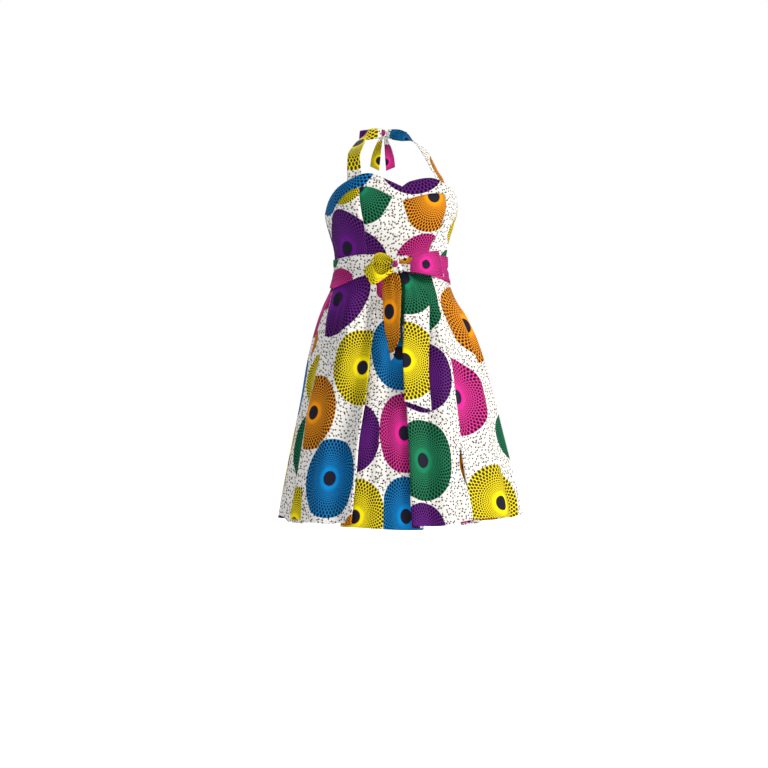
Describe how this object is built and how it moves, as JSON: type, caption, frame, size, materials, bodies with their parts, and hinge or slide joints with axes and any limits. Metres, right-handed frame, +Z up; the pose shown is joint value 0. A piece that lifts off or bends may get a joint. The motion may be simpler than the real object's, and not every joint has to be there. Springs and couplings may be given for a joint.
{
  "type": "ankara wax print halter dress",
  "caption": "Knee-length halter dress in wax print cotton with sweetheart neckline, bow sash and pleated A-line skirt, kept in its worn hollow form.",
  "frame": {"origin": "at the nape, in the middle of the halter where the wearer's neck holds the dress up", "axes": "+Z up along the body, -Y to the front of the dress, +X to the wearer's left, which is the right as seen from the front"},
  "size_m": [0.6055, 0.4605, 0.9963],
  "materials": {
    "print_white": "crisp plain-woven cotton, wax resist print, low sheen",
    "print_purple": "crisp plain-woven cotton, wax resist print, low sheen",
    "print_blue": "crisp plain-woven cotton, wax resist print, low sheen",
    "print_skirt": "crisp plain-woven cotton, wax resist print, low sheen",
    "print_pink": "crisp plain-woven cotton, wax resist print, low sheen",
    "print_yellow": "crisp plain-woven cotton, wax resist print, low sheen",
    "print_orange": "crisp plain-woven cotton, wax resist print, low sheen",
    "print_navy": "crisp plain-woven cotton, wax resist print, low sheen",
    "zip_tape": "plain woven polyester zip tape",
    "zip_metal": "satin nickel-plated zip hardware"
  },
  "bodies": {
    "dress": {"bodice_front_center": "print_white", "bodice_front_side_left": "print_purple", "bodice_front_side_right": "print_white", "neckline_band": "print_blue", "bodice_back_left": "print_white", "bodice_back_right": "print_white", "skirt_front": "print_skirt", "skirt_back_left": "print_skirt", "skirt_back_right": "print_skirt", "sash_wrap": "print_pink", "sash_knot": "print_white", "sash_loop_left": "print_yellow", "sash_loop_right": "print_pink", "sash_tail_short": "print_orange", "sash_tail_long": "print_yellow", "halter_strap_left": "print_yellow", "halter_strap_right": "print_white", "halter_knot": "print_white", "halter_loop_left": "print_navy", "halter_loop_right": "print_navy", "halter_tail_left": "print_yellow", "halter_tail_right": "print_white", "zip_tape": "zip_tape", "zip_slider": "zip_metal"},
    "pull_tab": {"zip_pull": "zip_metal"}
  },
  "joints": [
    {"name": "pull_tab_hinge", "type": "hinge", "parent": "dress", "child": "pull_tab", "pos_m": [0, 0.03619, -0.24], "axis": [1, 0, 0], "range_deg": [0, 165]}
  ]
}
